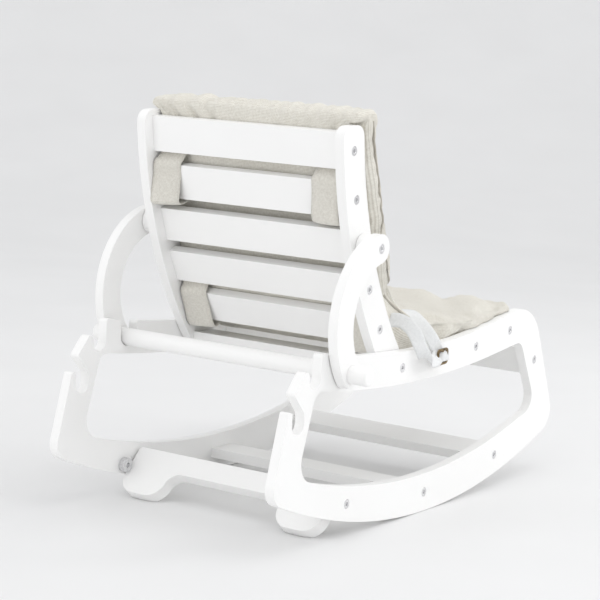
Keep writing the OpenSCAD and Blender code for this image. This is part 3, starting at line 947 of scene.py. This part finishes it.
def make_tab(node, number, side, skew, slack, droop):
    """A loose loop of doubled linen that comes round one slat from the pad."""
    lo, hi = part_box(node)
    x = (lo.x + hi.x) / 2
    half = SLAT_W / 2
    face = PLY / 2
    # Each pair is how far up from the slat's middle and how far back
    route = [(half + 0.0190, -face - 0.0030),
             (half + 0.0150, -face - 0.0006),
             (half + 0.0110, -0.0020),
             (half + 0.0075, 0.0030),
             (half + 0.0040, face),
             (half - 0.001, face + 0.0026),
             (half - 0.012, face + 0.0036),
             (0.0, face + 0.0040 + 0.3 * slack),
             (-half + 0.006, face + 0.0048 + 0.8 * slack),
             (-half + 0.0035 - droop - 0.3 * slack, face + 0.003 + slack),
             (-half - droop - 0.4 * slack, face - 0.001 + 0.7 * slack),
             (-half - 0.001 - droop - 0.2 * slack, 0.0),
             (-half - droop, -face),
             (-half - 0.001 - droop, -face - 0.006)]
    middle = slat_point(number, 0, 0, 0)
    spots = []
    for i, (up, back) in enumerate(route):
        lean = skew * smooth(0, len(route) - 5, i)
        turn = Vector((1, 0, 0)) + slat_point(number, 0, TAB_TURN * lean / TAB_W * side, 0) - middle
        spots.append((slat_point(number, up, back, x + lean * TAB_SHIFT), turn))
    tab = ribbon("linen_" + node, spots, TAB_W, TAB_THICK, TABS, steps=5, columns=8, cup=TAB_CUP)
    recalculate(tab)
    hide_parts(node)
    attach(tab, "backrest")


UPPER, LOWER = BACK_SLATS - 2, 0
# Each tab: (node, slat, side, skew, slack, droop)
for TAB in (("tab_upper_left", UPPER, 1, 0.014, 0.0115, 0.0015),
            ("tab_upper_right", UPPER, -1, 0.004, 0.006, 0.0068),
            ("tab_lower_left", LOWER, 1, 0.006, 0.005, 0.0075),
            ("tab_lower_right", LOWER, -1, -0.004, 0.006, 0.0075)):
    make_tab(*TAB)


# ---------------------------------------------------------------- harness webbing and its buckles
WEB_W = 0.021
WEB_THICK = 0.0016
# Left-hand side of the object; each point is (x, y, z), then the way that the webbing's width lies
LOW_STRAP = [((0.148, 0.086, 0.288), (0.2, -0.3, 1.0)),
             ((0.166, 0.078, 0.2935), (0.35, -0.35, 1.0)),
             ((0.179, 0.071, 0.2935), (0.55, -0.40, 0.8)),
             ((0.192, 0.067, 0.2865), (0.8, -0.45, 0.45)),
             ((0.2015, 0.064, 0.275), (0.85, -0.60, 0.2)),
             ((0.208, 0.060, 0.259), (0.7, -0.9, 0.0)),
             ((0.2110, 0.050, 0.244), (0.55, -0.9, -0.35)),
             ((0.2115, 0.034, 0.2350), (0.4, -0.5, -0.8)),
             ((0.2110, 0.018, 0.2338), (0.50, 0.1, -1.0)),
             ((0.2090, 0.007, 0.2384), (0.75, 0.2, -1.0)),
             ((0.2075, -0.001, 0.2390), (0.25, 0.2, -1.0)),
             ((0.2075, -0.007, 0.2390), (0.2, 0.2, -1.0))]
HIGH_STRAP = [((0.148, 0.024, 0.300), (0.2, -1.0, 0.1)),
              ((0.166, 0.021, 0.2975), (0.3, -1.0, 0.3)),
              ((0.179, 0.018, 0.2875), (0.5, -0.9, 0.4)),
              ((0.192, 0.014, 0.273), (0.6, -0.8, 0.45)),
              ((0.2010, 0.009, 0.259), (0.5, -0.85, 0.4)),
              ((0.2050, 0.003, 0.248), (0.3, -0.95, 0.25)),
              ((0.2062, -0.002, 0.2405), (0.15, -1.0, 0.1)),
              ((0.2062, -0.005, 0.236), (0.1, -1.0, 0.0))]
# The loose end that comes out through the buckle
TAIL = [((0.2086, 0.0058, 0.2368), (0.1, 0.2, -1.0)),
        ((0.2106, 0.0036, 0.2371), (0.1, 0.2, -1.0)),
        ((0.2136, 0.0012, 0.2374), (0.1, 0.2, -1.0)),
        ((0.2147, -0.0022, 0.2377), (0.1, 0.2, -1.0)),
        ((0.2148, -0.0080, 0.2380), (0.1, 0.2, -1.0)),
        ((0.2146, -0.0142, 0.2384), (0.1, 0.2, -1.0))]
TAIL_W = 0.0140


def facing(spots, side):
    """The points for the left side (1) or mirrored for the right side (-1)."""
    return [(Vector((x * side, y, z)), Vector((sx * side, sy, sz))) for (x, y, z), (sx, sy, sz) in spots]


def make_strap(name, side):
    low = ribbon("webbing_low", facing(LOW_STRAP, side), WEB_W, WEB_THICK, WEBBING)
    high = ribbon("webbing_high", facing(HIGH_STRAP, side), WEB_W, WEB_THICK, WEBBING)
    tail = ribbon("webbing_tail", facing(TAIL, side), TAIL_W, WEB_THICK, WEBBING)
    for piece in (low, high, tail):
        recalculate(piece)
    join(high, [low, tail])
    high.name = "webbing_" + name
    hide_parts("harness_strap_" + name)
    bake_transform(high)


BUCKLE_AT = (0.2112, -0.0020, 0.2370)
# Half of its length across the webbing, half of its length along it, and its wire's radius
BUCKLE_WIDE = 0.0108
BUCKLE_TALL = 0.0098
BUCKLE_WIRE = 0.0022
BUCKLE_CORNER = 0.0032
CORNER_STEPS = 4
BAR_SHARE = 0.9
WIRE_SIDES = 10


def make_buckle(name, side):
    """A slide buckle of round wire: a rectangular ring with one cross bar."""
    middle = Vector((BUCKLE_AT[0] * side, *BUCKLE_AT[1:]))
    across = Vector((0.10 * side, 0.15, 1.0)).normalized()
    up = Vector((0.20 * side, -1.0, 0.1))
    up = (up - across * up.dot(across)).normalized()
    wide, tall = BUCKLE_WIDE - BUCKLE_CORNER, BUCKLE_TALL - BUCKLE_CORNER
    ring = []
    for cx, cz, start in ((1, 1, 0), (-1, 1, 90), (-1, -1, 180), (1, -1, 270)):
        for step in range(CORNER_STEPS + 1):
            a = math.radians(start + step * 90 / CORNER_STEPS)
            ring.append(middle + across * (cx * wide + BUCKLE_CORNER * math.cos(a))
                        + up * (cz * tall + BUCKLE_CORNER * math.sin(a)))
    ring.append(ring[0].copy())
    frame_wire = tube("slide_" + name, ring, BUCKLE_WIRE, BRASS, WIRE_SIDES)
    ends = [middle - across * BUCKLE_WIDE, middle + across * BUCKLE_WIDE]
    join(frame_wire, [tube("bar", ends, BUCKLE_WIRE * BAR_SHARE, BRASS, WIRE_SIDES)])
    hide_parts("strap_buckle_" + name)
    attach(frame_wire, "frame")


for NAME, SIDE in (("left", 1), ("right", -1)):
    make_strap(NAME, SIDE)
    make_buckle(NAME, SIDE)
